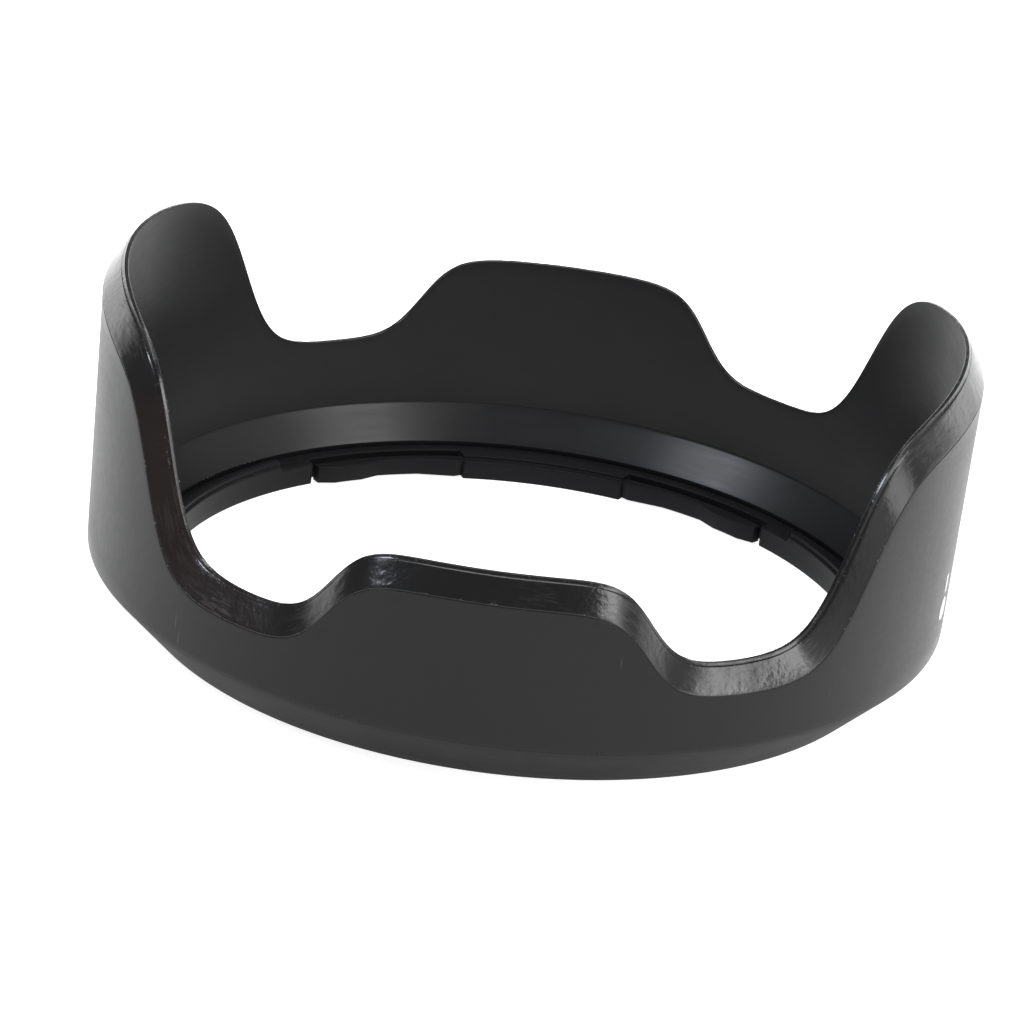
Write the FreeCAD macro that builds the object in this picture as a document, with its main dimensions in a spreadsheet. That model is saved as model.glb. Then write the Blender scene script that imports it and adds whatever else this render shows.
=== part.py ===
# Petal lens hood with a bayonet base, in millimetres and degrees.
# Origin at the centre of the base, +Z towards the subject, tall petals on +X and -X.
import FreeCAD, Part
import Sketcher
import math
import os

SIZES = {
    # petal shell
    "barrel_radius": 36.0,          # outside, where the skirt meets the petals
    "wall_thickness": 2.0,
    "draft_angle": 1.3,             # the petals flare outwards
    "skirt_height": 4.4,            # 45 degree skirt below the petals
    "blank_height": 31.0,           # the shell before its rim is shaped
    "band_top": 5.1,                # conical band inside the base
    "band_foot": 2.25,
    "band_foot_radius": 31.85,
    "seat_radius": 31.1,            # bore and ledge that the ring is bonded into
    "ledge_height": 1.2,
    # rim line, seen from the side: tall petal, valley, short petal
    "tall_height": 28.75,
    "valley_height": 11.2,
    "short_height": 18.7,
    "tall_edge_angle": 38.4,        # half way down the tall petal's flank
    "short_edge_angle": 68.4,       # half way up the short petal's flank
    "tall_flank_softness": 6.06,
    "short_flank_softness": 4.62,
    "tall_crown": 2.9,              # how much the tall petal's top is rounded
    "rim_land": 0.35,               # flat edge inside the bevel
    "bevel_drop": 2.1,
    "tall_bevel_extra": 0.45,
    "bevel_inset_angle": 1.0,
    # bayonet ring
    "glue_gap": 0.05,
    "ring_bore_radius": 29.5,
    "flange_top": 1.9,
    "rail_radius": 30.5,
    "rail_top": 2.75,
    "rail_half_angle": 41.0,
    "lug_radius": 28.65,
    "lug_top": 1.65,
    "lug_end_angle": 75.7,
    # click fingers, one each side of each lug
    "pocket_radius": 30.65,
    "pocket_end_angle": 48.0,
    "finger_outer_radius": 30.0,
    "finger_inner_radius": 29.2,
    "finger_floor_gap": 0.15,
    "finger_tip_angle": 48.7,
    "bump_start_angle": 51.6,
    "bump_end_angle": 57.0,
    "arm_start_angle": 60.5,
    "arm_end_angle": 68.0,
    "root_radius": 28.75,
    "root_angle": 74.4,
    "hinge_radius": 29.5,
    "hinge_angle": 75.5,
    "knuckle_radius": 0.5,
    "knuckle_gap": 0.06,
    # printed index mark
    "mark_angle": -9.5,
    "mark_dot_height": 8.5,
    "mark_dot_radius": 1.0,
    "mark_line_width": 0.6,
    "mark_line_foot": 10.0,
    "mark_line_top": 11.6,
    "ink_thickness": 0.04,
}

QUARTER_SPANS = 45                  # spans in a quarter of each rim curve
CUTTER_MARGIN = 0.5                 # how far the rim cutter stands clear of the wall
CENTRE = ("0", "0")


def make_sheet(doc):
    sheet = doc.addObject("Spreadsheet::Sheet", "sizes")
    for row, (alias, value) in enumerate(SIZES.items(), start=1):
        sheet.set(f"A{row}", alias)
        sheet.set(f"B{row}", str(value))
        sheet.setAlias(f"B{row}", alias)
    doc.recompute()
    return sheet


def bound(text):
    """Point each alias in an expression at the sheet."""
    words = text.replace("(", "( ").replace(")", " )").split()
    return " ".join(f"sizes.{word}" if word in SIZES else word for word in words)


def origin_item(body, role):
    return next(item for item in body.Origin.OriginFeatures if item.Role == role)


def new_sketch(body, role, name):
    sketch = body.newObject("Sketcher::SketchObject", name)
    sketch.AttachmentSupport = (origin_item(body, role), [""])
    sketch.MapMode = "FlatFace"
    return sketch


def constrain(sketch, kind, places, text):
    """Add a dimension whose value is an expression on the sheet."""
    value = float(sketch.evalExpression(bound(text)))
    index = sketch.addConstraint(Sketcher.Constraint(kind, *places, value))
    sketch.setExpression(f"Constraints[{index}]", bound(text))


def polar(radius, angle, side=1):
    """A point given by its distance from the axis and its angle, mirrored where side is -1."""
    return f"{side} * {radius} * cos({angle})", f"{radius} * sin({angle})"


def closed_outline(sketch, corners):
    """Draw a closed outline. A corner is (point, centre): the edge that leaves it is a line
    where centre is None, and otherwise the shorter arc about that centre."""
    def spot(point):
        return FreeCAD.Vector(*(float(sketch.evalExpression(bound(text))) for text in point))

    edges = []
    for number, (point, centre) in enumerate(corners):
        start = spot(point)
        finish = spot(corners[(number + 1) % len(corners)][0])
        if centre is None:
            edges.append((sketch.addGeometry(Part.LineSegment(start, finish)), 1, 2))
            continue
        middle = spot(centre)
        first = math.atan2(start.y - middle.y, start.x - middle.x)
        last = math.atan2(finish.y - middle.y, finish.x - middle.x)
        clockwise = (last - first) % (2 * math.pi) > math.pi + 0.01
        circle = Part.Circle(middle, FreeCAD.Vector(0, 0, 1), (start - middle).Length)
        if clockwise:
            edges.append((sketch.addGeometry(Part.ArcOfCircle(circle, last, first)), 2, 1))
        else:
            edges.append((sketch.addGeometry(Part.ArcOfCircle(circle, first, last)), 1, 2))
    for number, (point, centre) in enumerate(corners):
        edge, start, finish = edges[number]
        after, after_start, _ = edges[(number + 1) % len(corners)]
        sketch.addConstraint(Sketcher.Constraint("Coincident", edge, finish, after, after_start))
        constrain(sketch, "DistanceX", (-1, 1, edge, start), point[0])
        if corners[number - 1][1] is None:
            constrain(sketch, "DistanceY", (-1, 1, edge, start), point[1])
        if centre == CENTRE:
            sketch.addConstraint(Sketcher.Constraint("Coincident", edge, 3, -1, 1))
        elif centre is not None:
            constrain(sketch, "DistanceX", (-1, 1, edge, 3), centre[0])
            constrain(sketch, "DistanceY", (-1, 1, edge, 3), centre[1])


def revolve(body, role, name, section, angle=None):
    """Turn a section of straight lines about the Z axis, all round or by a bound angle."""
    sketch = new_sketch(body, role, name + "_section")
    closed_outline(sketch, [(point, None) for point in section])
    turned = body.newObject("PartDesign::Revolution", name)
    turned.Profile = sketch
    turned.ReferenceAxis = (sketch, ["V_Axis"])
    if angle is None:
        turned.Angle = 360
    else:
        turned.Midplane = True
        turned.setExpression("Angle", bound(angle))
    return turned


def opposite_pair(body, name, features):
    """Repeat features half a turn away."""
    pattern = body.newObject("PartDesign::PolarPattern", name)
    pattern.Originals = features
    pattern.Axis = (origin_item(body, "Z_Axis"), [""])
    pattern.Angle = 360
    pattern.Occurrences = 2
    body.Tip = pattern


def make_shell_blank(doc):
    """Skirt, wall and inner band, with a level top."""
    body = doc.addObject("PartDesign::Body", "shell_blank")
    flare = "(blank_height - skirt_height) * tan(draft_angle)"
    band_flare = "(band_top - skirt_height) * tan(draft_angle)"
    revolve(body, "XZ_Plane", "shell_wall", [
        ("barrel_radius - skirt_height", "0"),
        ("barrel_radius", "skirt_height"),
        (f"barrel_radius + {flare}", "blank_height"),
        (f"barrel_radius - wall_thickness + {flare}", "blank_height"),
        (f"barrel_radius - wall_thickness + {band_flare}", "band_top"),
        ("band_foot_radius", "band_foot"),
        ("band_foot_radius", "ledge_height"),
        ("seat_radius", "ledge_height"),
        ("seat_radius", "0"),
    ])
    return body


def smooth_step(value):
    return 0.5 * (1 + math.tanh(value))


def rim_line(sheet, turn, drop=0.0, extra=0.0, inset=0.0):
    """Height of the rim at a turn about the axis, lowered and drawn in for the bevel's foot."""
    fold = math.degrees(math.asin(abs(math.sin(turn))))
    tall = smooth_step((sheet.tall_edge_angle - inset - fold) / sheet.tall_flank_softness)
    short = smooth_step((fold - sheet.short_edge_angle - inset) / sheet.short_flank_softness)
    crown = sheet.tall_crown * (fold / sheet.tall_edge_angle) ** 2
    tall_rise = sheet.tall_height - sheet.valley_height - extra - crown
    short_rise = sheet.short_height - sheet.valley_height
    return sheet.valley_height - drop + tall_rise * tall + short_rise * short


def cutter_section(sheet, turn):
    """Corners of the rim cutter at one turn: a level land along the inner edge, then the bevel."""
    slope = math.tan(math.radians(sheet.draft_angle))
    land = rim_line(sheet, turn)
    foot = rim_line(sheet, turn, sheet.bevel_drop, sheet.tall_bevel_extra, sheet.bevel_inset_angle)
    inner = sheet.barrel_radius - sheet.wall_thickness + (land - sheet.skirt_height) * slope
    outer = sheet.barrel_radius + (foot - sheet.skirt_height) * slope
    edge = inner + sheet.rim_land
    past = outer + CUTTER_MARGIN
    past_height = land + (foot - land) * (past - edge) / (outer - edge)
    ceiling = sheet.blank_height + CUTTER_MARGIN
    corners = [(inner - CUTTER_MARGIN, land), (edge, land), (past, past_height),
               (past, ceiling), (inner - CUTTER_MARGIN, ceiling)]
    return [FreeCAD.Vector(radius * math.cos(turn), radius * math.sin(turn), height)
            for radius, height in corners]


def make_rim_cutter(doc, sheet):
    """Everything above the rim, as ruled faces between curves, a quarter turn at a time."""
    step = math.pi / 2 / QUARTER_SPANS
    sides = []
    for quarter in range(4):
        turns = [(quarter * QUARTER_SPANS + number) * step for number in range(QUARTER_SPANS + 1)]
        edges = []
        for corner_line in zip(*(cutter_section(sheet, turn) for turn in turns)):
            curve = Part.BSplineCurve()
            curve.interpolate(Points=list(corner_line), Parameters=turns)
            edges.append(curve.toShape())
        sides += [Part.makeRuledSurface(edges[number - 1], edges[number]) for number in range(5)]
    skin = Part.Shell(sides)
    skin.sewShape()
    cutter = doc.addObject("Part::Feature", "rim_cutter")
    cutter.Shape = Part.Solid(skin)
    return cutter


def make_hood_shell(doc, sheet):
    """The petal moulding: the blank with its rim cut to the four petals."""
    shell = doc.addObject("Part::Cut", "hood_shell")
    shell.Base = make_shell_blank(doc)
    shell.Tool = make_rim_cutter(doc, sheet)
    return shell


def make_bayonet_ring(doc):
    """The ring bonded into the base: flange, two rails, two lugs and four finger pockets."""
    body = doc.addObject("PartDesign::Body", "bayonet_ring")
    revolve(body, "XZ_Plane", "flange", [
        ("ring_bore_radius", "0"),
        ("seat_radius - glue_gap", "0"),
        ("seat_radius - glue_gap", "ledge_height"),
        ("band_foot_radius - glue_gap", "ledge_height"),
        ("band_foot_radius - glue_gap", "flange_top"),
        ("ring_bore_radius", "flange_top"),
    ])
    rail = revolve(body, "XZ_Plane", "rail", [
        ("ring_bore_radius", "ledge_height"),
        ("rail_radius", "ledge_height"),
        ("rail_radius", "rail_top"),
        ("ring_bore_radius", "rail_top"),
    ], "2 * rail_half_angle")
    lug = revolve(body, "YZ_Plane", "lug", [
        ("lug_radius", "0"),
        ("rail_radius", "0"),
        ("rail_radius", "lug_top"),
        ("lug_radius", "lug_top"),
    ], "2 * (90 - lug_end_angle)")
    opposite_pair(body, "rails_and_lugs", [rail, lug])
    pockets = new_sketch(body, "XY_Plane", "finger_pocket_outlines")
    sockets = new_sketch(body, "XY_Plane", "knuckle_sockets")
    for side in (1, -1):
        closed_outline(pockets, [
            (polar("(lug_radius - 1)", "pocket_end_angle", side), None),
            (polar("pocket_radius", "pocket_end_angle", side), CENTRE),
            (polar("pocket_radius", "lug_end_angle", side), None),
            (polar("(lug_radius - 1)", "lug_end_angle", side), None),
        ])
        middle = polar("hinge_radius", "hinge_angle", side)
        circle = sockets.addGeometry(Part.Circle())
        constrain(sockets, "Radius", (circle,), "knuckle_radius + knuckle_gap")
        constrain(sockets, "DistanceX", (-1, 1, circle, 3), middle[0])
        constrain(sockets, "DistanceY", (-1, 1, circle, 3), middle[1])
    cuts = []
    for name, sketch in (("finger_pockets", pockets), ("sockets", sockets)):
        cut = body.newObject("PartDesign::Pocket", name)
        cut.Profile = sketch
        cut.Type = "ThroughAll"
        cut.Midplane = True
        cuts.append(cut)
    opposite_pair(body, "pockets_and_sockets", cuts)
    return body


def make_click_finger(doc, name, axis, half_turn, flipped):
    """A sprung finger: knuckle at the lug, thin arm, click bump at the tip. One outline serves
    all four, turned half round about the named axis."""
    body = doc.addObject("PartDesign::Body", name)
    sketch = new_sketch(body, "XY_Plane", name + "_outline")
    closed_outline(sketch, [
        (polar("finger_outer_radius", "finger_tip_angle"), CENTRE),
        (polar("finger_outer_radius", "hinge_angle"), polar("hinge_radius", "hinge_angle")),
        (polar("(hinge_radius - knuckle_radius)", "hinge_angle"), None),
        (polar("root_radius", "root_angle"), None),
        (polar("finger_inner_radius", "arm_end_angle"), CENTRE),
        (polar("finger_inner_radius", "arm_start_angle"), None),
        (polar("lug_radius", "bump_end_angle"), CENTRE),
        (polar("lug_radius", "bump_start_angle"), None),
        (polar("finger_inner_radius", "finger_tip_angle"), None),
    ])
    pad = body.newObject("PartDesign::Pad", name + "_pad")
    pad.Profile = sketch
    pad.setExpression("Length", bound("lug_top - finger_floor_gap"))
    body.Placement = FreeCAD.Placement(FreeCAD.Vector(), FreeCAD.Rotation(axis, half_turn))
    body.setExpression("Placement.Base.z", bound("lug_top" if flipped else "finger_floor_gap"))
    return body


def make_click_fingers(doc):
    x_axis, y_axis, z_axis = (FreeCAD.Vector(*(column == row for column in range(3)))
                              for row in range(3))
    return [
        make_click_finger(doc, "click_finger_far_right", z_axis, 0, False),
        make_click_finger(doc, "click_finger_far_left", y_axis, 180, True),
        make_click_finger(doc, "click_finger_near_left", z_axis, 180, False),
        make_click_finger(doc, "click_finger_near_right", x_axis, 180, True),
    ]


def make_index_mark(doc):
    """Printed dot and line: a film of ink on the outside of the wall."""
    film = doc.addObject("PartDesign::Body", "ink_film")
    section = []
    for height, ink in (("mark_dot_height - 2", "0"), ("mark_dot_height - 2", "ink_thickness"),
                        ("mark_line_top + 1", "ink_thickness"), ("mark_line_top + 1", "0")):
        flare = f"({height} - skirt_height) * tan(draft_angle)"
        section.append((f"barrel_radius + {flare} + {ink}", height))
    revolve(film, "XZ_Plane", "film", section, "16")
    dot = doc.addObject("Part::Cylinder", "mark_dot")
    dot.setExpression("Radius", bound("mark_dot_radius"))
    dot.setExpression("Height", bound("barrel_radius + 5"))
    dot.Placement = FreeCAD.Placement(FreeCAD.Vector(), FreeCAD.Rotation(FreeCAD.Vector(0, 1, 0), 90))
    dot.setExpression("Placement.Base.z", bound("mark_dot_height"))
    line = doc.addObject("Part::Box", "mark_line")
    line.setExpression("Length", bound("barrel_radius + 5"))
    line.setExpression("Width", bound("mark_line_width"))
    line.setExpression("Height", bound("mark_line_top - mark_line_foot"))
    line.setExpression("Placement.Base.y", bound("0 - mark_line_width / 2"))
    line.setExpression("Placement.Base.z", bound("mark_line_foot"))
    stamp = doc.addObject("Part::Fuse", "mark_stamp")
    stamp.Base = dot
    stamp.Tool = line
    mark = doc.addObject("Part::Common", "index_mark")
    mark.Base = film
    mark.Tool = stamp
    mark.Placement.Rotation = FreeCAD.Rotation(FreeCAD.Vector(0, 0, 1), 1)
    mark.setExpression("Placement.Rotation.Angle", bound("mark_angle"))
    return mark


def check(doc, pieces):
    for item in doc.Objects:
        if {"Invalid", "Error"} & set(item.State):
            raise RuntimeError(f"{item.Label} failed: {item.State}")
    for piece in pieces:
        if piece.Shape.isNull() or not piece.Shape.isValid():
            raise RuntimeError(f"{piece.Label} has no valid shape")
        box = piece.Shape.BoundBox
        print(f"{piece.Label}: {len(piece.Shape.Solids)} solid, {piece.Shape.Volume:.2f} mm3, "
              f"x {box.XMin:.2f} {box.XMax:.2f}, y {box.YMin:.2f} {box.YMax:.2f}, "
              f"z {box.ZMin:.2f} {box.ZMax:.2f}")


def main():
    doc = FreeCAD.newDocument("petal_hood")
    sheet = make_sheet(doc)
    pieces = [make_hood_shell(doc, sheet), make_bayonet_ring(doc), *make_click_fingers(doc),
              make_index_mark(doc)]
    doc.recompute()
    check(doc, pieces)
    os.makedirs("parts", exist_ok=True)
    for piece in pieces:
        piece.Shape.exportStep(f"parts/{piece.Label}.step")


main()
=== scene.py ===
import bpy, bmesh, math
from mathutils import Matrix, Vector


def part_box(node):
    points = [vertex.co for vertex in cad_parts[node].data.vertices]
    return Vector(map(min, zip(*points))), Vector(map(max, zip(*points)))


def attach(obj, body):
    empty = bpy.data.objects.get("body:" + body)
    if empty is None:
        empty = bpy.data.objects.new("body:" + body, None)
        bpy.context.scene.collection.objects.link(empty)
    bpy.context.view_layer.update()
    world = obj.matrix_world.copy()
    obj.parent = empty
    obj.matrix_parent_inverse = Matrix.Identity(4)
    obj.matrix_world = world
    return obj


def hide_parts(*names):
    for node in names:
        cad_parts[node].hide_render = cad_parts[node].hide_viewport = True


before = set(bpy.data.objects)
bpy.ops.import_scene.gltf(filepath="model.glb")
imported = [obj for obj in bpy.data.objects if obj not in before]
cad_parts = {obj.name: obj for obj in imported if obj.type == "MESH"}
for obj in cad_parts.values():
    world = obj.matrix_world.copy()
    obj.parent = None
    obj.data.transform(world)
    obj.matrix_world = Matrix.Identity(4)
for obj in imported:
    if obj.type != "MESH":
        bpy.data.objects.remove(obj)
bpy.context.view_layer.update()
mm = 0.001
print("frame loaded:", sorted(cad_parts))


# node helpers
class Wire:
    # a node socket that takes part in arithmetic
    def __init__(self, graph, socket):
        self.graph = graph
        self.socket = socket

    def maths(self, operation, *others):
        node = self.graph.tree.nodes.new("ShaderNodeMath")
        node.operation = operation
        for place, value in enumerate((self, *others)):
            self.graph.feed(node.inputs[place], value)
        return Wire(self.graph, node.outputs[0])

    def __add__(self, other): return self.maths("ADD", other)
    def __radd__(self, other): return self.maths("ADD", other)
    def __sub__(self, other): return self.maths("SUBTRACT", other)
    def __rsub__(self, other): return (self * -1).maths("ADD", other)
    def __mul__(self, other): return self.maths("MULTIPLY", other)
    def __rmul__(self, other): return self.maths("MULTIPLY", other)
    def __truediv__(self, other): return self.maths("DIVIDE", other)
    def __abs__(self): return self.maths("ABSOLUTE")
    def __pow__(self, other): return self.maths("POWER", other)


class Graph:
    def __init__(self, tree):
        self.tree = tree

    def feed(self, socket, value):
        if isinstance(value, Wire):
            self.tree.links.new(value.socket, socket)
        else:
            socket.default_value = value

    def node(self, kind, settings=None, inputs=None, output=0):
        # one way to make every other node: type, settings, then values or links
        made = self.tree.nodes.new(kind)
        for name, value in (settings or {}).items():
            setattr(made, name, value)
        for name, value in (inputs or {}).items():
            self.feed(made.inputs[name], value)
        return Wire(self, made.outputs[output])


def smoothStep(wire, start, width):
    # 0 before start, 1 after start + width
    return wire.graph.node("ShaderNodeMapRange", {"interpolation_type": "SMOOTHSTEP"},
                           {"Value": wire, "From Min": start, "From Max": start + width})


# camera and studio
cameraSetup = {
    "azimuth": 2.87, "elevation": 22.87, "roll": 6.76,     # degrees
    "distance": 0.484, "lens": 202.0,                      # metres, millimetres
    "aimRight": -0.00013, "aimUp": -0.00856,               # where the base centre sits in view
}


def buildCamera(setup):
    turn, tilt, roll = (math.radians(setup[key]) for key in ("azimuth", "elevation", "roll"))
    back = Vector((math.sin(turn) * math.cos(tilt), -math.cos(turn) * math.cos(tilt), math.sin(tilt)))
    level = Vector((0, 0, 1)).cross(back).normalized()
    upright = back.cross(level)
    right = level * math.cos(roll) + upright * math.sin(roll)
    up = upright * math.cos(roll) - level * math.sin(roll)
    place = back * setup["distance"] - right * setup["aimRight"] - up * setup["aimUp"]
    data = bpy.data.cameras.new("camera")
    data.lens = setup["lens"]
    data.clip_start = 0.01
    camera = bpy.data.objects.new("camera", data)
    camera.matrix_world = Matrix((
        (right.x, up.x, back.x, place.x),
        (right.y, up.y, back.y, place.y),
        (right.z, up.z, back.z, place.z),
        (0, 0, 0, 1)))
    bpy.context.collection.objects.link(camera)
    bpy.context.scene.camera = camera


studio = {
    "floorSize": 8.0, "floorColour": 0.8, "floorGlow": 0.85, "floorRoughness": 0.9, "floorSpecular": 0.1,
    "roomGlow": 0.22,
    "boxes": {     # where the light comes from, its half width in degrees, radiance, colour
        "rightBox": {"turn": -26, "height": 41, "spread": 11.0, "radiance": 7.8, "colour": (1.0, 1.0, 1.0)},
        "leftBox": {"turn": -155, "height": 45, "spread": 6.5, "radiance": 24.0, "colour": (0.86, 0.91, 1.0)},
        "backBox": {"turn": 72, "height": 50, "spread": 8.0, "radiance": 6.0, "colour": (1.0, 1.0, 1.0)},
        "overheadBox": {"turn": 90, "height": 87, "spread": 22.0, "radiance": 4.0, "colour": (1.0, 1.0, 1.0)},
    },
    "boxDistance": 0.9, "aimHeight": 0.012,        # metres; the boxes face a point this far up the axis
    "patches": [   # soft glows of the room: turn, height, inner and outer half width, radiance
        (16, 26, 6, 30, 0.6),
        (-26, 19, 7, 20, 3.6),
        (-50, 10, 8, 34, 0.9),
    ],
    "horizon": {"turn": 86, "reach": 68, "fade": 16, "low": 5, "high": 14, "radiance": 2.4},
}


def aimedAt(turn, height):
    turn, height = math.radians(turn), math.radians(height)
    return Vector((math.cos(turn) * math.cos(height), math.sin(turn) * math.cos(height), math.sin(height)))


def buildRoom(setup):
    world = bpy.data.worlds.new("studioRoom")
    world.use_nodes = True
    graph = Graph(world.node_tree)
    way = graph.node("ShaderNodeTexCoord", output="Generated")

    def closeness(direction):
        return graph.node("ShaderNodeVectorMath", {"operation": "DOT_PRODUCT"},
                          {0: way, 1: direction}, "Value")

    glow = setup["roomGlow"]
    for turn, height, inner, outer, radiance in setup["patches"]:
        start, full = math.cos(math.radians(outer)), math.cos(math.radians(inner))
        glow = smoothStep(closeness(aimedAt(turn, height)), start, full - start) * radiance + glow
    rim = setup["horizon"]
    start = math.cos(math.radians(rim["reach"] + rim["fade"]))
    full = math.cos(math.radians(rim["reach"]))
    low, high = (math.sin(math.radians(rim[key])) for key in ("low", "high"))
    aside = smoothStep(closeness(aimedAt(rim["turn"], 0)), start, full - start)
    above = smoothStep(closeness(Vector((0, 0, 1))), low, high - low)
    glow = aside * (1 - above) * rim["radiance"] + glow
    background = world.node_tree.nodes["Background"].inputs
    graph.feed(background["Strength"], glow)
    background["Color"].default_value = (1, 1, 1, 1)
    bpy.context.scene.world = world


def buildStudio(setup):
    half = setup["floorSize"] / 2
    mesh = bpy.data.meshes.new("floor")
    corners = [(-half, -half, 0), (half, -half, 0), (half, half, 0), (-half, half, 0)]
    mesh.from_pydata(corners, [], [(0, 1, 2, 3)])
    floor = bpy.data.objects.new("floor", mesh)
    bpy.context.collection.objects.link(floor)
    material = bpy.data.materials.new("paleFloor")
    material.use_nodes = True
    sockets = material.node_tree.nodes["Principled BSDF"].inputs
    shade = setup["floorColour"]
    sockets["Base Color"].default_value = (shade, shade, shade, 1)
    sockets["Roughness"].default_value = setup["floorRoughness"]
    sockets["Specular IOR Level"].default_value = setup["floorSpecular"]
    sockets["Emission Color"].default_value = (1, 1, 1, 1)
    sockets["Emission Strength"].default_value = setup["floorGlow"]
    mesh.materials.append(material)
    for name, box in setup["boxes"].items():
        away = aimedAt(box["turn"], box["height"])
        radius = setup["boxDistance"] * math.tan(math.radians(box["spread"]))
        data = bpy.data.lights.new(name, "AREA")
        data.shape = "DISK"
        data.size = radius * 2
        data.energy = box["radiance"] * (math.pi * radius) ** 2     # watts of a disk that bright
        data.color = box["colour"]
        lamp = bpy.data.objects.new(name, data)
        lamp.location = away * setup["boxDistance"] + Vector((0, 0, setup["aimHeight"]))
        lamp.rotation_mode = "QUATERNION"
        lamp.rotation_quaternion = away.to_track_quat("Z", "Y")
        bpy.context.collection.objects.link(lamp)
    bpy.context.scene.view_settings.view_transform = "Standard"


buildCamera(cameraSetup)
buildRoom(studio)
buildStudio(studio)
print("camera and studio ready:", len(studio["boxes"]), "lights")


# materials
def newMaterial(name, specular):
    material = bpy.data.materials.new(name)
    material.use_nodes = True
    graph = Graph(material.node_tree)
    shader = material.node_tree.nodes["Principled BSDF"]
    shader.inputs["Specular IOR Level"].default_value = specular
    return material, graph, shader


def noise(graph, place, size, detail=2.0, roughness=0.5):
    # size is the width of one blotch in millimetres
    return graph.node("ShaderNodeTexNoise", {"normalize": True}, {
        "Vector": place, "Scale": 1 / (size * mm), "Detail": detail, "Roughness": roughness})


def tinted(graph, share, low, high):
    return graph.node("ShaderNodeMix", {"data_type": "RGBA", "clamp_factor": True},
                      {0: share, 6: (*low, 1), 7: (*high, 1)}, 2)


def bumped(graph, height, depth, under=None):
    # depth is in millimetres for a height that runs from 0 to 1
    inputs = {"Height": height, "Strength": 1.0, "Distance": depth * mm}
    if under is not None:
        inputs["Normal"] = under
    return graph.node("ShaderNodeBump", inputs=inputs)


def stretched(graph, place, turn, scale):
    # turns the pattern about each axis in degrees, then scales it
    return graph.node("ShaderNodeMapping", {"vector_type": "POINT"}, {
        "Vector": place, "Rotation": tuple(math.radians(a) for a in turn), "Scale": scale})


def hairScratches(graph, place, v):
    # thin straight marks: a noise drawn out along one direction, kept only where it is highest
    along = stretched(graph, place, v["scratchTurn"], (1.0, 1.0, v["scratchDraw"]))
    drawn = noise(graph, along, v["scratchSize"], 2.0)
    patch = noise(graph, place, v["scratchPatch"], 1.0)
    return smoothStep(drawn, v["scratchLimit"], 0.03) * smoothStep(patch, 0.56, 0.08)


def dustSpecks(graph, place, v):
    # one round speck in a few of the cells
    cell, size, share = v["speckCell"], v["speckSize"], v["speckShare"]
    cells = graph.node("ShaderNodeTexVoronoi", {"feature": "F1"}, {"Vector": place, "Scale": 1 / (cell * mm)})
    tone = graph.node("ShaderNodeSeparateColor", inputs={0: Wire(graph, cells.socket.node.outputs["Color"])})
    radius = size / cell
    return (1 - smoothStep(cells, radius * 0.6, radius * 0.4)) * smoothStep(tone, 1 - share, 0.002)


def overlaid(graph, share, under, over):
    # one plain colour over another that varies
    return graph.node("ShaderNodeMix", {"data_type": "RGBA"}, {0: share, 6: under, 7: (*over, 1)}, 2)


def wallPlastic(v):
    material, graph, shader = newMaterial("wallPlastic", v["specular"])
    place = graph.node("ShaderNodeTexCoord", output="Object")
    edge = graph.node("ShaderNodeAttribute", {"attribute_name": "edge"}, output="Fac")
    cloud = noise(graph, place, v["cloudSize"], 3.0)
    spark = noise(graph, place, v["sparkSize"], 2.0)
    coarse = noise(graph, place, v["sparkSize"] * 3.5, 2.0)
    scratch = hairScratches(graph, place, v)
    speck = dustSpecks(graph, place, v)
    gate = Vector(v["gateMark"]) * mm
    wavesPerMetre = 1 / (v["ringStep"] * mm)
    fromGate = graph.node("ShaderNodeMapping", {"vector_type": "POINT"}, {"Vector": place, "Location": -gate})
    rings = graph.node("ShaderNodeTexWave", {"wave_type": "RINGS", "rings_direction": "SPHERICAL"}, {
        "Vector": fromGate,
        "Scale": wavesPerMetre / 20 * 2 * math.pi,      # the node's own wave is a twentieth of a turn
        "Distortion": 1.2, "Detail": 1.0, "Detail Scale": 0.3})
    far = graph.node("ShaderNodeVectorMath", {"operation": "DISTANCE"}, {0: place, 1: gate}, "Value")
    nearGate = 1 - smoothStep(far, v["ringReach"] * mm, v["ringFade"] * mm)
    colour = tinted(graph, cloud, v["dark"], v["light"])
    colour = overlaid(graph, scratch * v["scratchTint"], colour, v["scratchColour"])
    colour = overlaid(graph, speck, colour, v["speckColour"])
    graph.feed(shader.inputs["Base Color"], colour)
    rough = cloud * 0.10 + coarse * 0.10 - edge * 0.08 + (v["roughness"] - 0.10)
    graph.feed(shader.inputs["Roughness"], rough)
    relief = spark * 0.7 + coarse * 0.3 + scratch * 0.5
    under = bumped(graph, relief, v["sparkDepth"])
    graph.feed(shader.inputs["Normal"], bumped(graph, rings * nearGate, v["ringDepth"], under))
    return material


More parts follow.
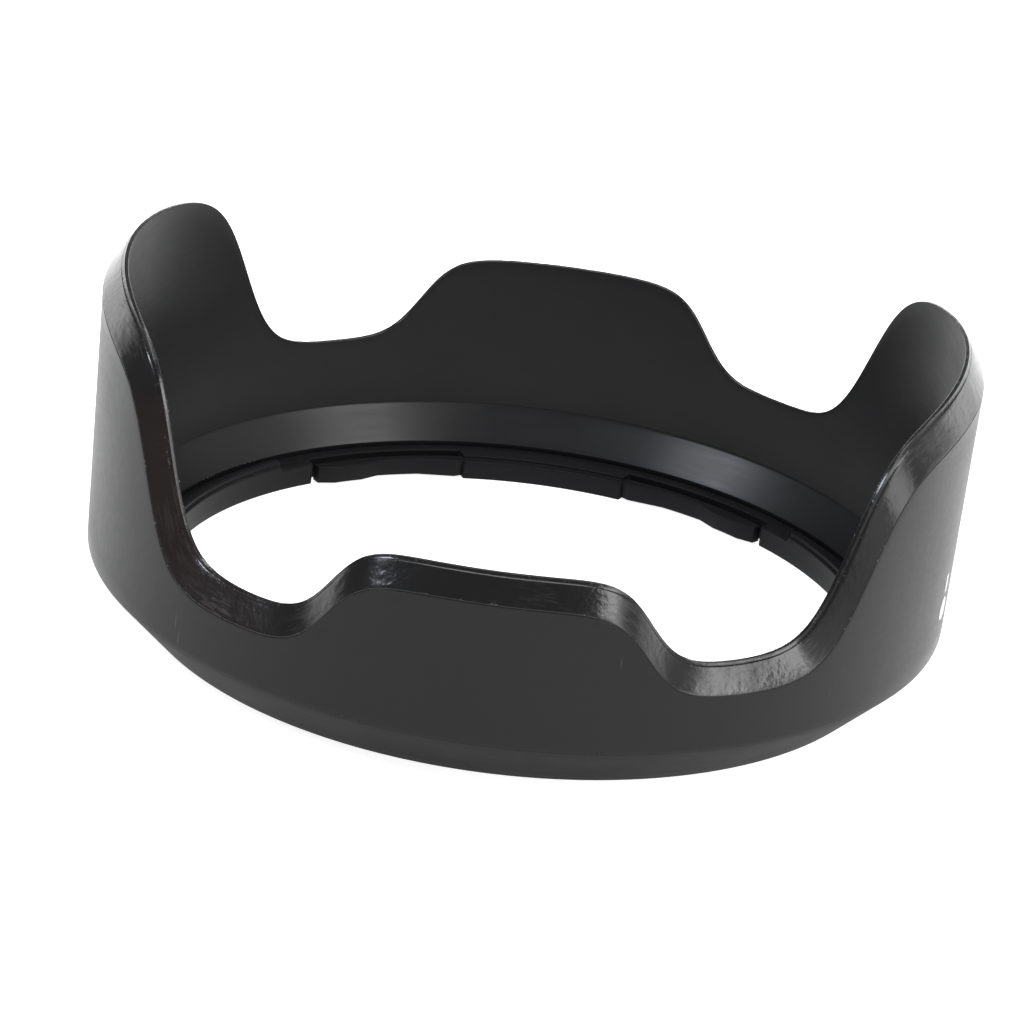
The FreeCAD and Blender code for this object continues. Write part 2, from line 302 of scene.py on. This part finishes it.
def rimPlastic(v):
    material, graph, shader = newMaterial("rimPlastic", v["specular"])
    place = graph.node("ShaderNodeTexCoord", output="Object")
    edge = graph.node("ShaderNodeAttribute", {"attribute_name": "edge"}, output="Fac")
    across = graph.node("ShaderNodeAttribute", {"attribute_name": "across"}, output="Fac")
    split = graph.node("ShaderNodeSeparateXYZ", inputs={0: place}).socket.node
    east, north = (Wire(graph, split.outputs[number]) for number in (0, 1))
    draw = v["streakDraw"]
    run = graph.node("ShaderNodeCombineXYZ", inputs={0: east * draw, 1: north * draw, 2: across * mm})
    streak = noise(graph, run, v["streakSize"], 2.0, 0.5)     # drawn out along the rim
    hair = noise(graph, run, v["streakSize"] * 0.35, 1.0)
    wave = noise(graph, place, v["waveSize"], 2.0)
    peel = noise(graph, place, v["peelSize"], 1.5, 0.5)
    patch = noise(graph, place, v["patchSize"], 2.0)
    scuffed = smoothStep(patch, 0.46, 0.16)                   # stretches that the trimming tool rubbed
    peeled = 1 - smoothStep(patch, 0.40, 0.16)                # stretches with an orange peel
    # painted colour cast: the rim's left side gets a lighter brown tint that stands in for the colour of its
    # shade, not a colour of the plastic
    leftSide = 1 - smoothStep(east, v["paintedCastFrom"] * mm, v["paintedCastFade"] * mm)
    brown = leftSide * smoothStep(noise(graph, place, v["paintedCastSize"], 1.0), 0.25, 0.25)
    chip = smoothStep(noise(graph, place, v["chipSize"], 3.0, 0.7), 0.60, 0.10) * smoothStep(edge, 0.55, 0.4)
    colour = tinted(graph, brown, v["dark"], v["brown"])
    colour = overlaid(graph, chip * v["chipTint"], colour, v["chipColour"])
    graph.feed(shader.inputs["Base Color"], colour)
    rough = smoothStep(streak, 0.46, 0.20) * scuffed * 0.16 + wave * 0.08 + (v["roughness"] - 0.04)
    graph.feed(shader.inputs["Roughness"], rough)
    under = bumped(graph, wave, v["waveDepth"])
    under = bumped(graph, peel * (peeled * 0.75 + 0.25), v["peelDepth"], under)
    lines = (streak + hair * 0.3) * (scuffed * 0.85 + 0.15) + chip * 0.6
    graph.feed(shader.inputs["Normal"], bumped(graph, lines, v["streakDepth"], under))
    return material


def mouldedBlack(name, v):
    # satin moulding: faint turned lines and a fine grain
    material, graph, shader = newMaterial(name, v["specular"])
    place = graph.node("ShaderNodeTexCoord", output="Object")
    split = graph.node("ShaderNodeSeparateXYZ", inputs={0: place}).socket.node
    east, north, up = (Wire(graph, output) for output in split.outputs)
    draw = 0.06                                               # how far the lines run round the piece
    run = graph.node("ShaderNodeCombineXYZ", inputs={0: east * draw, 1: north * draw, 2: up})
    turned = noise(graph, run, v["lineSize"], 3.0, 0.6)
    grain = noise(graph, place, v["grainSize"], 2.0)
    cloud = noise(graph, place, v["cloudSize"], 3.0)
    graph.feed(shader.inputs["Base Color"], tinted(graph, cloud * 0.7 + turned * 0.3, v["dark"], v["light"]))
    graph.feed(shader.inputs["Roughness"], cloud * 0.12 + turned * 0.10 + (v["roughness"] - 0.11))
    under = bumped(graph, grain, v["grainDepth"])
    graph.feed(shader.inputs["Normal"], bumped(graph, turned, v["lineDepth"], under))
    return material


def whiteInk(v):
    material, graph, shader = newMaterial("whiteInk", v["specular"])
    place = graph.node("ShaderNodeTexCoord", output="Object")
    grain = noise(graph, place, v["grainSize"], 3.0, 0.6)
    worn = smoothStep(noise(graph, place, v["wornSize"], 3.0, 0.7), 0.60, 0.08)
    graph.feed(shader.inputs["Base Color"], tinted(graph, worn * 0.8, v["ink"], v["under"]))
    graph.feed(shader.inputs["Roughness"], grain * 0.2 + (v["roughness"] - 0.1))
    graph.feed(shader.inputs["Normal"], bumped(graph, grain, v["grainDepth"]))
    return material


finishes = {      # sizes and depths in millimetres
    "wallPlastic": wallPlastic({
        "specular": 0.18, "roughness": 0.37, "cloudSize": 9.0,
        "dark": (0.0074, 0.0072, 0.0078), "light": (0.0098, 0.0097, 0.0102),
        "sparkSize": 0.16, "sparkDepth": 0.007,
        "scratchTurn": (20, 25, 0), "scratchDraw": 0.035, "scratchSize": 0.22, "scratchPatch": 7.0,
        "scratchLimit": 0.70, "scratchTint": 0.18, "scratchColour": (0.20, 0.20, 0.20),
        "speckCell": 2.2, "speckSize": 0.14, "speckShare": 0.035, "speckColour": (0.30, 0.30, 0.29),
        "gateMark": (8.0, -35.1, 12.5), "ringStep": 0.5, "ringDepth": 0.004,
        "ringReach": 2.5, "ringFade": 3.5}),
    # the skirt is the same moulding as the wall; its lighter, warmer base colour is painted bounce light from
    # the floor
    "skirtPlasticPaintedBounce": mouldedBlack("skirtPlasticPaintedBounce", {
        "specular": 0.06, "roughness": 0.52, "cloudSize": 6.0,
        "dark": (0.0095, 0.0080, 0.0080), "light": (0.0120, 0.0112, 0.0110),
        "lineSize": 0.30, "lineDepth": 0.005, "grainSize": 0.18, "grainDepth": 0.006}),
    "rimPlastic": rimPlastic({
        "specular": 0.45, "roughness": 0.20,
        # the brown below is a painted colour cast of the shade on the rim's left side
        "dark": (0.0060, 0.0060, 0.0064), "brown": (0.0105, 0.0072, 0.0070),
        "paintedCastFrom": -24.0, "paintedCastFade": 14.0, "paintedCastSize": 9.0,
        "peelSize": 0.42, "peelDepth": 0.026, "patchSize": 6.0, "waveSize": 3.2, "waveDepth": 0.05,
        "streakSize": 0.26, "streakDepth": 0.007, "streakDraw": 0.20,
        "chipSize": 0.30, "chipTint": 0.4, "chipColour": (0.12, 0.12, 0.12)}),
    "innerPlastic": mouldedBlack("innerPlastic", {
        "specular": 0.20, "roughness": 0.44, "cloudSize": 6.0,
        "dark": (0.0062, 0.0062, 0.0070), "light": (0.0082, 0.0081, 0.0090),
        "lineSize": 0.5, "lineDepth": 0.0005, "grainSize": 0.18, "grainDepth": 0.005}),
    "bandPlastic": mouldedBlack("bandPlastic", {
        "specular": 0.32, "roughness": 0.34, "cloudSize": 6.0,
        "dark": (0.0090, 0.0090, 0.0100), "light": (0.0125, 0.0125, 0.0138),
        "lineSize": 0.35, "lineDepth": 0.002, "grainSize": 0.15, "grainDepth": 0.002}),
    "ringPlastic": mouldedBlack("ringPlastic", {
        "specular": 0.06, "roughness": 0.38, "cloudSize": 6.0,
        "dark": (0.0085, 0.0085, 0.0094), "light": (0.0115, 0.0115, 0.0125),
        "lineSize": 0.4, "lineDepth": 0.002, "grainSize": 0.25, "grainDepth": 0.002}),
    "crumbPlastic": mouldedBlack("crumbPlastic", {
        "specular": 0.5, "roughness": 0.35, "cloudSize": 6.0,
        "dark": (0.03, 0.03, 0.03), "light": (0.30, 0.29, 0.28),
        "lineSize": 0.3, "lineDepth": 0.002, "grainSize": 0.1, "grainDepth": 0.004}),
    "whiteInk": whiteInk({
        "specular": 0.3, "roughness": 0.6, "ink": (0.74, 0.74, 0.73), "under": (0.25, 0.25, 0.25),
        "grainSize": 0.12, "grainDepth": 0.006, "wornSize": 0.35}),
}
print("materials ready:", len(finishes))


# shared piece helpers
weldDistance = 0.001 * mm            # closes the seam of a swept piece


def finishPiece(piece, body, slot, *nodes):
    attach(piece, body)
    if nodes:
        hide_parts(*nodes)
    print(piece.name, "rides", body, "with", len(piece.data.polygons), "faces")


def cornerArc(before, point, after, radius, steps):
    # shifts from a corner that round it off: points of the arc between its two tangent points
    entering, leaving = (point - before).normalized(), (after - point).normalized()
    bend = entering.angle(leaving)
    first, last = -entering * radius * math.tan(bend / 2), leaving * radius * math.tan(bend / 2)
    centre = (first + last).normalized() * radius / math.cos(bend / 2) if bend > 0.001 else Vector((0, 0))
    return [centre + (first - centre).lerp(last - centre, step / (steps - 1)).normalized() * radius
            if bend > 0.001 else Vector((0, 0)) for step in range(steps)]


def roundedSection(corners, shown, arcSteps=5):
    # corners: (values, radius, spans to the next), where the first two values are radius and height.
    # shown gives each corner's place as a vector. Returns stations: (values, edge, number of the span).
    places = [shown(values) for values, radius, spans in corners]
    count = len(corners)
    runs = []
    for number, (values, radius, spans) in enumerate(corners):
        if radius:
            after = places[(number + 1) % count]
            shifts = cornerArc(places[number - 1], places[number], after, radius, arcSteps)
        else:
            shifts = [Vector((0, 0))]
        runs.append([(values[0] + shift.x, values[1] + shift.y, *values[2:]) for shift in shifts])
    stations = []
    for number, (values, radius, spans) in enumerate(corners):
        run = runs[number]
        for step, values in enumerate(run):
            span = number - 1 if step < len(run) // 2 else number
            stations.append((values, 1.0 if radius else 0.6, span % count))
        start, finish = run[-1], runs[(number + 1) % count][0]
        for row in range(1, spans):
            between = tuple(a + (b - a) * row / spans for a, b in zip(start, finish))
            stations.append((between, 0.0, number))
    return stations


def newTree(name, numbers, takesSection):
    # a tree with one named input for each number
    tree = bpy.data.node_groups.new(name, "GeometryNodeTree")
    graph = Graph(tree)
    if takesSection:
        tree.interface.new_socket("Geometry", in_out="INPUT", socket_type="NodeSocketGeometry")
    for label, value in numbers.items():
        kind = "NodeSocketInt" if isinstance(value, int) else "NodeSocketFloat"
        tree.interface.new_socket(label, in_out="INPUT", socket_type=kind).default_value = value
    tree.interface.new_socket("Geometry", in_out="OUTPUT", socket_type="NodeSocketGeometry")
    entry = tree.nodes.new("NodeGroupInput")
    return graph, entry, {label: Wire(graph, entry.outputs[label]) for label in numbers}


def closedTree(graph, shape):
    leave = graph.tree.nodes.new("NodeGroupOutput")
    graph.feed(leave.inputs["Geometry"], shape)
    return graph.tree


def sweptTree(name, numbers, columns, place, materials):
    # a tree that sweeps a section of stations round the Z axis; place() gives radius and height
    graph, entry, inputs = newTree(name, numbers, True)
    section = Wire(graph, entry.outputs["Geometry"])
    grid = graph.node("GeometryNodeMeshGrid", inputs={
        "Size X": 1.0, "Size Y": 1.0,
        "Vertices X": inputs["turns"] + 1, "Vertices Y": inputs["stations"] + 1})
    spot = graph.node("ShaderNodeSeparateXYZ", inputs={0: graph.node("GeometryNodeInputPosition")})
    turn = (spot + 0.5) * (2 * math.pi)
    row = (Wire(graph, spot.socket.node.outputs[1]) + 0.5) * inputs["stations"]
    station = (row + 0.25).maths("FLOOR").maths("MODULO", inputs["stations"])
    span = row.maths("FLOOR")

    def sampled(attribute, kind, index):
        value = graph.node("GeometryNodeInputNamedAttribute", {"data_type": kind}, {"Name": attribute})
        return graph.node("GeometryNodeSampleIndex", {"data_type": kind, "domain": "POINT"},
                          {"Geometry": section, "Value": value, "Index": index})

    def parts(attribute):
        split = graph.node("ShaderNodeSeparateXYZ", inputs={0: sampled(attribute, "FLOAT_VECTOR", station)})
        return [Wire(graph, output) for output in split.socket.node.outputs]

    samples = {label: parts(label) for label in columns}
    radius, height = place(graph, inputs, turn, samples)
    where = graph.node("ShaderNodeCombineXYZ", inputs={
        0: radius * turn.maths("COSINE") * mm, 1: radius * turn.maths("SINE") * mm, 2: height * mm})
    shape = grid
    stored = (("zone", "INT", "FACE", span), ("edge", "FLOAT", "POINT", station),
              ("across", "FLOAT", "POINT", station))
    for label, kind, domain, index in stored:
        shape = graph.node("GeometryNodeStoreNamedAttribute", {"data_type": kind, "domain": domain},
                           {"Geometry": shape, "Name": label, "Value": sampled(label, kind, index)})
    shape = graph.node("GeometryNodeSetPosition", inputs={"Geometry": shape, "Position": where})
    shape = graph.node("GeometryNodeMergeByDistance", inputs={"Geometry": shape, "Distance": weldDistance})
    shape = graph.node("GeometryNodeSetShadeSmooth", inputs={"Geometry": shape})
    shape = graph.node("GeometryNodeRealizeInstances", inputs={"Geometry": shape})
    zone = graph.node("GeometryNodeInputNamedAttribute", {"data_type": "INT"}, {"Name": "zone"})
    for number, material in enumerate(materials):
        chosen = graph.node("FunctionNodeCompare", {"data_type": "INT", "operation": "EQUAL"},
                            {2: zone, 3: number})
        shape = graph.node("GeometryNodeSetMaterial", inputs={
            "Geometry": shape, "Selection": chosen, "Material": material})
    return closedTree(graph, shape)


def runTree(name, mesh, tree, numbers):
    # sets the inputs by identifier, evaluates once and keeps the plain mesh
    holder = bpy.data.objects.new(name + "Holder", mesh)
    bpy.context.collection.objects.link(holder)
    modifier = holder.modifiers.new("grow", "NODES")
    modifier.node_group = tree
    for item in tree.interface.items_tree:
        if item.in_out == "INPUT" and item.name in numbers:
            modifier[item.identifier] = numbers[item.name]
    grown = holder.evaluated_get(bpy.context.evaluated_depsgraph_get())
    finished = bpy.data.meshes.new_from_object(grown)
    bpy.data.objects.remove(holder)
    piece = bpy.data.objects.new(name, finished)
    bpy.context.collection.objects.link(piece)
    return piece


def sweptPiece(name, stations, shown, zones, numbers, extra, place, materials):
    # extra: vector attributes by name, one value for each station
    mesh = bpy.data.meshes.new(name + "Section")
    mesh.from_pydata([(values[0], 0, values[1]) for values, edge, span in stations], [], [])
    across, length = [], 0.0
    spots = [shown(values) for values, edge, span in stations]
    for number, spot in enumerate(spots):
        length += (spot - spots[number - 1]).length if number else 0
        across.append(length)
    flat = {"edge": ("FLOAT", "value", [edge for values, edge, span in stations]),
            "across": ("FLOAT", "value", across),
            "zone": ("INT", "value", [zones[span] for values, edge, span in stations])}
    extra = {"place": [(values[0], 0, values[1]) for values, edge, span in stations], **extra}
    for label, vectors in extra.items():
        flat[label] = ("FLOAT_VECTOR", "vector", [part for vector in vectors for part in vector])
    for label, (kind, field, column) in flat.items():
        mesh.attributes.new(label, kind, "POINT").data.foreach_set(field, column)
    numbers = {**numbers, "stations": len(stations)}
    tree = sweptTree(name + "Tree", numbers, list(extra), place, materials)
    return runTree(name, mesh, tree, numbers)


# petal shell
petalShell = {
    "barrelRadius": 36.0, "wall": 2.0, "draft": 1.3, "skirtHeight": 4.4,
    "bandTop": 5.1, "bandFoot": 2.25, "bandFootRadius": 31.85,
    "seatRadius": 31.1, "ledgeHeight": 1.2,
    "tallHeight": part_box("hood_shell")[1].z / mm, "valleyHeight": 11.2, "shortHeight": 18.7,
    "tallEdge": 38.4, "shortEdge": 68.4, "tallFlank": 6.06, "shortFlank": 4.62, "crown": 2.9,
    "land": 0.35, "bevelDrop": 2.1, "tallExtra": 0.45, "inset": 1.0,
    "footShown": 16.5,              # about where the bevel's foot is on a short petal
    "turns": 840, "raggedDepth": 0.035,
    "partingGroove": 0.085,         # the fine lines that run beside the bevel
}


def shellPlaceShown(values):
    # where a section point shows on the short petal, used only to find corner directions
    rise = values[2] * petalShell["footShown"] + values[3] * petalShell["shortHeight"]
    return Vector((values[0] + rise * math.tan(math.radians(petalShell["draft"])), values[1] + rise))


def shellSection(v):
    slope = math.tan(math.radians(v["draft"]))
    taper = v["barrelRadius"] - v["skirtHeight"] * slope       # radius of the outer cone at height 0
    inner = taper - v["wall"]
    landEdge = inner + v["land"]
    groove = v["partingGroove"]
    bevelRun = taper - landEdge
    return roundedSection([
        ((v["barrelRadius"] - v["skirtHeight"], 0, 0, 0, 0), 0.2, 5),
        ((v["barrelRadius"], v["skirtHeight"], 0, 0, 0), 0.45, 13),
        ((taper, -0.15, 1, 0, 0.4), 0.03, 1),
        ((taper - groove, -0.09, 1, 0, 0.4), 0, 1),
        ((taper - 0.01, -0.02, 1, 0, 1), 0.06, 8),
        ((landEdge + bevelRun * 0.15, 0.02, 0.15, 0.85, 0.5), 0.05, 1),
        ((landEdge + bevelRun * 0.07, -groove, 0.07, 0.93, 0.5), 0, 1),
        ((landEdge, 0, 0, 1, 0.8), 0.05, 2),
        ((inner, 0, 0, 1, 0.25), 0.12, 12),
        ((inner + v["bandTop"] * slope, v["bandTop"], 0, 0, 0), 0.55, 6),
        ((v["bandFootRadius"], v["bandFoot"], 0, 0, 0), 0.15, 2),
        ((v["bandFootRadius"], v["ledgeHeight"], 0, 0, 0), 0, 1),
        ((v["seatRadius"], v["ledgeHeight"], 0, 0, 0), 0, 2),
        ((v["seatRadius"], 0, 0, 0, 0), 0, 1),
    ], shellPlaceShown)


def foldOf(turn):
    # 0 at the middle of a tall petal, 90 at the middle of a short one
    return abs(turn.maths("SINE")).maths("ARCSINE") * (180 / math.pi)


def rimRule(fold, inputs, drop, extra, inset):
    # height of a rim line at a fold angle
    tall = ((inputs["tallEdge"] - inset - fold) / inputs["tallFlank"]).maths("TANH") * 0.5 + 0.5
    short = ((fold - inputs["shortEdge"] - inset) / inputs["shortFlank"]).maths("TANH") * 0.5 + 0.5
    crown = (fold / inputs["tallEdge"]) ** 2 * inputs["crown"]
    tallRise = inputs["tallHeight"] - inputs["valleyHeight"] - extra - crown
    shortRise = inputs["shortHeight"] - inputs["valleyHeight"]
    return inputs["valleyHeight"] - drop + tallRise * tall + shortRise * short


def shellPlace(graph, inputs, turn, samples):
    (radius, unused, height), (footShare, landShare, raggedShare) = samples["place"], samples["shares"]
    fold = foldOf(turn)
    foot = rimRule(fold, inputs, inputs["bevelDrop"], inputs["tallExtra"], inputs["inset"])
    land = rimRule(fold, inputs, 0.0, 0.0, 0.0)
    rise = foot * footShare + land * landShare
    circle = graph.node("ShaderNodeCombineXYZ", inputs={
        0: turn.maths("COSINE"), 1: turn.maths("SINE"), 2: footShare * 3})
    ragged = graph.node("ShaderNodeTexNoise", inputs={
        "Vector": circle, "Scale": 45.0, "Detail": 6.0, "Roughness": 0.75})
    nick = (ragged - 0.5) * inputs["raggedDepth"] * raggedShare * 3
    return radius + rise * inputs["slope"] + nick * 0.4, height + rise + nick


def rimNumbers(v):
    labels = ("tallHeight", "valleyHeight", "shortHeight", "tallEdge", "shortEdge", "tallFlank", "shortFlank",
              "crown", "bevelDrop", "tallExtra", "inset", "raggedDepth")
    return {**{label: float(v[label]) for label in labels}, "slope": math.tan(math.radians(v["draft"]))}


def buildPetalShell():
    v = petalShell
    stations = shellSection(v)
    zones = [5, 0, 0, 1, 1, 1, 1, 1, 2, 3, 4, 4, 4, 4]       # which finish each span takes
    materials = [finishes[key] for key in (
        "wallPlastic", "rimPlastic", "innerPlastic", "bandPlastic", "ringPlastic", "skirtPlasticPaintedBounce")]
    piece = sweptPiece("petalShell", stations, shellPlaceShown, zones, {**rimNumbers(v), "turns": v["turns"]},
                       {"shares": [values[2:] for values, edge, span in stations]}, shellPlace, materials)
    finishPiece(piece, "hood", "hood_plastic", "hood_shell")


# bayonet ring
bayonetRing = {
    "outer": 31.05, "ledge": 1.2, "flangeOuter": 31.8, "flangeTop": 1.9,
    "bore": 29.5, "railRadius": 30.5, "railTop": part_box("bayonet_ring")[1].z / mm, "pocketRadius": 30.65,
    "pocketSlope": 0.5,             # how far the flange's flat top starts behind a pocket
    "stepWidth": 0.26, "stepDrop": 0.42,       # the small step inside a rail's top edge
    "lugRadius": 28.65, "lugTop": 1.65,
    "railEnd": 41.0, "pocketStart": 48.0, "lugStart": 75.7,
    "endWidth": 0.5,                # degrees over which an end face is drawn
    "turns": 1440,
}


def flatPlace(values):
    return Vector(values[:2])


def ringSection(v, bore, lug, foot, top):
    # one section of the ring; the flat places where another section has a step keep its stations
    raised = top > v["flangeTop"]
    split = 0 if raised else 0.1
    drop = 0.1 if lug == bore else 0
    stepRadius, stepDrop = (v["stepWidth"], v["stepDrop"]) if raised else (0, 0)
    return roundedSection([
        ((v["outer"], 0), 0, 1),
        ((v["outer"], v["ledge"]), 0, 1),
        ((v["flangeOuter"], v["ledge"]), 0, 1),
        ((v["flangeOuter"], v["flangeTop"]), 0.1, 2),
        ((foot + split, v["flangeTop"]), 0.12, 2),
        ((foot - split, top), 0.2, 1),
        ((bore + v["stepWidth"], top), 0.14, 1),
        ((bore + stepRadius, top - stepDrop), 0.06 if raised else 0.12, 1),
        ((bore, top - max(stepDrop, 0.13)), 0.12 if raised else 0.01, 2),
        ((bore, v["lugTop"] + drop), 0.06, 1),
        ((lug, v["lugTop"] - drop), 0.15, 2),
        ((lug, 0), 0.15, 2),
    ], flatPlace, 4)


def ringPlace(graph, inputs, turn, samples):
    fold = foldOf(turn)
    half = inputs["endWidth"] / 2

    def past(label):
        return graph.node("ShaderNodeMapRange", {"interpolation_type": "SMOOTHSTEP"}, {
            "Value": fold, "From Min": inputs[label] - half, "From Max": inputs[label] + half})

    rail, pocket, lug = 1 - past("railEnd"), past("pocketStart"), past("lugStart")
    masks = {"railShift": rail, "pocketShift": pocket * (1 - lug), "lugShift": lug}
    radius, unused, height = samples["place"]
    for label, mask in masks.items():
        radius = samples[label][0] * mask + radius
        height = samples[label][2] * mask + height
    return radius, height


def buildBayonetRing():
    v = bayonetRing
    bore, foot, top, pocket = v["bore"], v["railRadius"], v["flangeTop"], v["pocketRadius"]
    plain = ringSection(v, bore, bore, foot, top)
    others = {
        "railShift": ringSection(v, bore, bore, foot, v["railTop"]),
        "pocketShift": ringSection(v, pocket, pocket, pocket + v["pocketSlope"], top),
        "lugShift": ringSection(v, bore, v["lugRadius"], foot, top),
    }

    def shiftOf(here, there):
        return there[0][0] - here[0][0], 0, there[0][1] - here[0][1]

    shifts = {label: [shiftOf(*pair) for pair in zip(plain, other)] for label, other in others.items()}
    numbers = {label: float(v[label]) for label in ("railEnd", "pocketStart", "lugStart", "endWidth")}
    zones = [0] * 12                                           # one finish for all its spans
    piece = sweptPiece("bayonetRing", plain, flatPlace, zones, {**numbers, "turns": v["turns"]},
                       shifts, ringPlace, [finishes["ringPlastic"]])
    finishPiece(piece, "hood", "ring_plastic", "bayonet_ring")


# click fingers
clickFinger = {
    "easing": 0.10, "easingSteps": 3,                          # millimetres, and rows of faces
    "weld": 0.002, "flatAngle": 1.0, "sharpAngle": 28.0, "smoothAngle": 40.0,
}
fingerNodes = ["click_finger_far_right", "click_finger_far_left",
               "click_finger_near_left", "click_finger_near_right"]


def buildClickFinger(node, v):
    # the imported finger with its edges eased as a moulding's are
    body = bmesh.new()
    body.from_mesh(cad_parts[node].data)
    flat, sharp, smooth = (math.radians(v[label]) for label in ("flatAngle", "sharpAngle", "smoothAngle"))
    bmesh.ops.remove_doubles(body, verts=body.verts, dist=v["weld"] * mm)
    bmesh.ops.dissolve_limit(body, angle_limit=flat, verts=body.verts, edges=body.edges)
    edges = [edge for edge in body.edges if edge.is_manifold and edge.calc_face_angle(0) > sharp]
    bmesh.ops.bevel(body, geom=edges, offset=v["easing"] * mm, offset_type="OFFSET",
                    segments=v["easingSteps"], profile=0.5, affect="EDGES", clamp_overlap=True)
    bmesh.ops.triangulate(body, faces=[face for face in body.faces if len(face.verts) > 4])
    for face in body.faces:
        face.smooth = True
    name = "".join(word.capitalize() for word in node.split("_"))
    mesh = bpy.data.meshes.new(name)
    body.to_mesh(mesh)
    body.free()
    mesh.set_sharp_from_angle(angle=smooth)
    mesh.materials.clear()
    mesh.materials.append(finishes["ringPlastic"])
    piece = bpy.data.objects.new(name[0].lower() + name[1:], mesh)
    bpy.context.collection.objects.link(piece)
    finishPiece(piece, node, "ring_plastic", node)


# crumbs of flash along the trimmed edges
edgeCrumbs = {
    "count": 260, "seed": 11, "smallest": 0.012, "largest": 0.055,
    "landInset": 0.04, "landSink": 0.03, "bandLift": 0.02,     # millimetres off the edge a crumb sits on
    "bandShare": 0.14, "footShare": 0.22,          # of the crumbs: under the band, and on the bevel's foot
    "leftShare": 0.3, "rightShare": 0.38,          # of the rim's crumbs: on its two denser stretches
    "bandStart": 141.0, "bandEnd": 156.0,          # degrees; crumbs under the band
    "leftStart": -148.0, "leftEnd": -128.0,        # denser stretches of the rim
    "rightStart": -64.0, "rightEnd": -26.0,
}


def buildEdgeCrumbs():
    v, shell = edgeCrumbs, petalShell
    numbers = {**rimNumbers(shell), "count": v["count"], "seed": v["seed"],
               **{label: float(value) for label, value in v.items() if label not in ("count", "seed")}}
    graph, entry, inputs = newTree("edgeCrumbsTree", numbers, False)

    def chance(low, high, draw, kind="FLOAT", output=1):
        first = 0 if kind == "FLOAT_VECTOR" else 2            # which sockets take the lowest and highest
        return graph.node("FunctionNodeRandomValue", {"data_type": kind}, {
            first: low, first + 1: high, "Seed": inputs["seed"] + draw}, output)

    line = chance(0.0, 1.0, 0)                                # which edge a crumb sits on
    onBand = line.maths("GREATER_THAN", 1 - inputs["bandShare"])
    onFoot = line.maths("LESS_THAN", inputs["footShare"])
    onLand = 1 - onBand - onFoot

    def within(arc):
        start, end = inputs[arc + "Start"], inputs[arc + "End"]
        return (chance(0.0, 1.0, 2) * (end - start) + start) * (math.pi / 180)

    stretch = chance(0.0, 1.0, 7)
    onLeft = stretch.maths("LESS_THAN", inputs["leftShare"])
    onRight = stretch.maths("GREATER_THAN", 1 - inputs["rightShare"])
    anywhere = chance(0.0, 2 * math.pi, 1) * (1 - onLeft - onRight)
    onRim = anywhere + within("left") * onLeft + within("right") * onRight
    turn = onRim * (1 - onBand) + within("band") * onBand
    fold = foldOf(turn)
    foot = rimRule(fold, inputs, inputs["bevelDrop"], inputs["tallExtra"], inputs["inset"])
    land = rimRule(fold, inputs, 0.0, 0.0, 0.0)
    taper = shell["barrelRadius"] - shell["skirtHeight"] * math.tan(math.radians(shell["draft"]))
    inner = taper - shell["wall"]
    rise = foot * onFoot + land * onLand
    edge = onFoot * taper + onLand * (inputs["landInset"] + inner)
    edge = edge + onBand * (shell["bandFootRadius"] - inputs["bandLift"])
    radius = edge + rise * inputs["slope"]
    height = rise - onLand * inputs["landSink"] + onBand * (inputs["bandLift"] + shell["bandFoot"])
    where = graph.node("ShaderNodeCombineXYZ", inputs={
        0: radius * turn.maths("COSINE") * mm, 1: radius * turn.maths("SINE") * mm, 2: height * mm})
    points = graph.node("GeometryNodePoints", inputs={"Count": inputs["count"], "Position": where})
    size = inputs["smallest"] + (inputs["largest"] - inputs["smallest"]) * chance(0.0, 1.0, 3) ** 2.5
    crumb = graph.node("GeometryNodeMeshIcoSphere", inputs={"Radius": mm, "Subdivisions": 1})
    spread = graph.node("ShaderNodeCombineXYZ", inputs={
        0: size, 1: size * chance(0.6, 1.9, 4), 2: size * chance(0.5, 1.0, 5)})
    tumbled = chance((0, 0, 0), (6.28, 6.28, 6.28), 6, "FLOAT_VECTOR", 0)
    placed = graph.node("GeometryNodeInstanceOnPoints", inputs={
        "Points": points, "Instance": crumb, "Rotation": tumbled, "Scale": spread})
    shape = graph.node("GeometryNodeRealizeInstances", inputs={"Geometry": placed})
    shape = graph.node("GeometryNodeSetShadeSmooth", inputs={"Geometry": shape})
    shape = graph.node("GeometryNodeSetMaterial", inputs={
        "Geometry": shape, "Material": finishes["crumbPlastic"]})
    piece = runTree("edgeCrumbs", bpy.data.meshes.new("edgeCrumbsStart"), closedTree(graph, shape), numbers)
    finishPiece(piece, "hood", "hood_plastic")


buildPetalShell()
buildBayonetRing()
for node in fingerNodes:
    buildClickFinger(node, clickFinger)
buildEdgeCrumbs()
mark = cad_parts["index_mark"]
for place in mark.material_slots:
    place.material = finishes["whiteInk"]
print("index mark inked")
